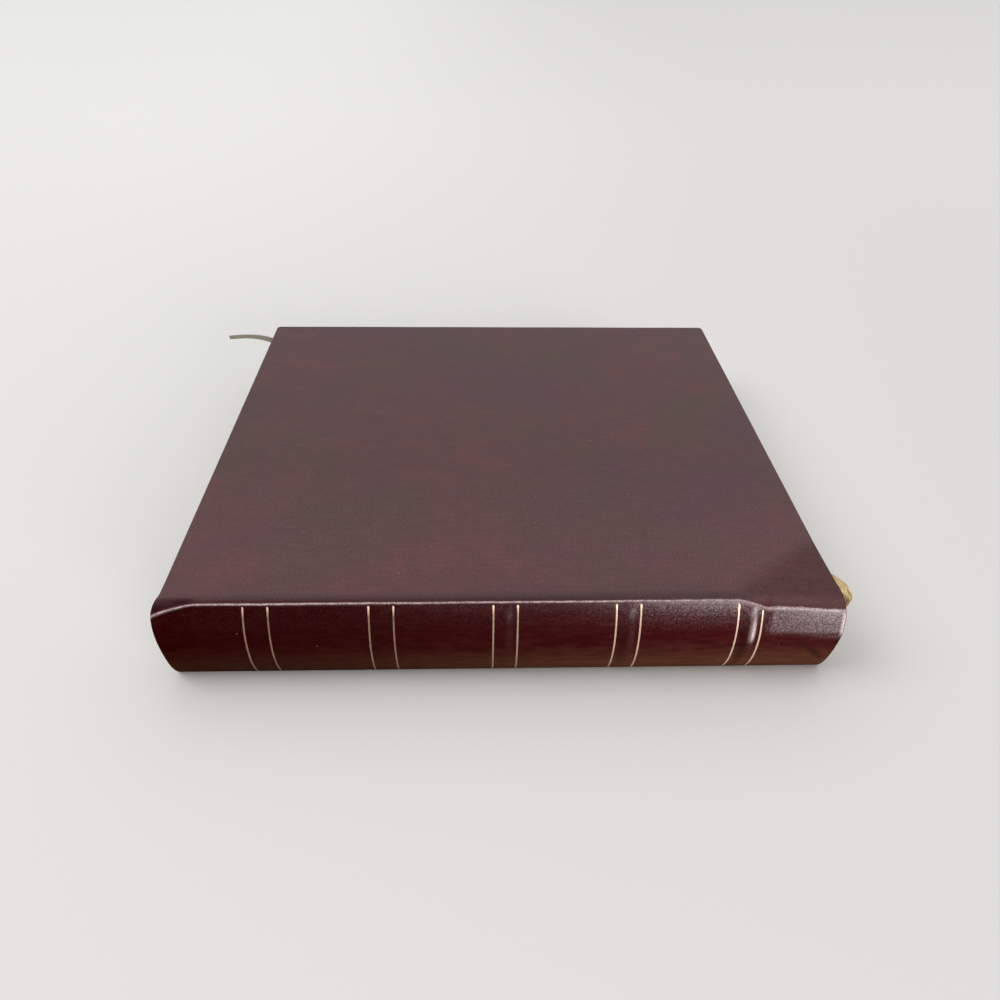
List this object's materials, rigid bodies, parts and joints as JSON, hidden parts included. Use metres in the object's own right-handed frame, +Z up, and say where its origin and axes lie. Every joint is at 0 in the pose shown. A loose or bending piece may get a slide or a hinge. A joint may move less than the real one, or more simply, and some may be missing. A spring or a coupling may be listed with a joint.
{
  "type": "photo album",
  "caption": "Large leather-bound photo album with a rounded, banded spine, hinged covers, stiff card leaves and a ribbon marker.",
  "frame": {"origin": "under the middle of the closed album, in the plane of the lower cover's outer face, which rests on the table; the free ribbon is left out of that middle", "axes": "+X runs along the spine from tail to head, +Y runs from the spine to the fore-edge, +Z is up, out of the upper cover"},
  "size_m": [0.3777, 0.3108, 0.048],
  "materials": {
    "leather": "satin",
    "board": "matte",
    "endpaper": "matte",
    "pages": "matte",
    "mull": "matte",
    "kraft": "matte",
    "band_strip": "matte",
    "gilt": "polished",
    "silk": "satin",
    "ribbon": "satin"
  },
  "bodies": {
    "text_block": {"page_block": "pages", "upper_flyleaf": "endpaper", "lower_flyleaf": "endpaper", "mull_lining": "mull", "spine_hollow": "kraft", "spine_inlay": "board", "raised_band_1": "band_strip", "raised_band_2": "band_strip", "raised_band_3": "band_strip", "raised_band_4": "band_strip", "raised_band_5": "band_strip", "spine_leather": "leather", "gilt_rule_1": "gilt", "gilt_rule_2": "gilt", "gilt_rule_3": "gilt", "gilt_rule_4": "gilt", "gilt_rule_5": "gilt", "gilt_rule_6": "gilt", "gilt_rule_7": "gilt", "gilt_rule_8": "gilt", "gilt_rule_9": "gilt", "gilt_rule_10": "gilt", "head_band": "silk", "tail_band": "silk", "ribbon_marker": "ribbon"},
    "upper_cover": {"upper_board": "board", "upper_infill": "board", "upper_cover_leather": "leather", "upper_pastedown": "endpaper"},
    "lower_cover": {"lower_board": "board", "lower_infill": "board", "lower_cover_leather": "leather", "lower_pastedown": "endpaper"}
  },
  "joints": [
    {"name": "upper_hinge", "type": "hinge", "parent": "text_block", "child": "upper_cover", "pos_m": [0, -0.14505, 0.0482], "axis": [1, 0, 0], "range_deg": [0, 180]},
    {"name": "lower_hinge", "type": "hinge", "parent": "text_block", "child": "lower_cover", "pos_m": [0, -0.14505, -0.0002], "axis": [-1, 0, 0], "range_deg": [0, 180]}
  ]
}
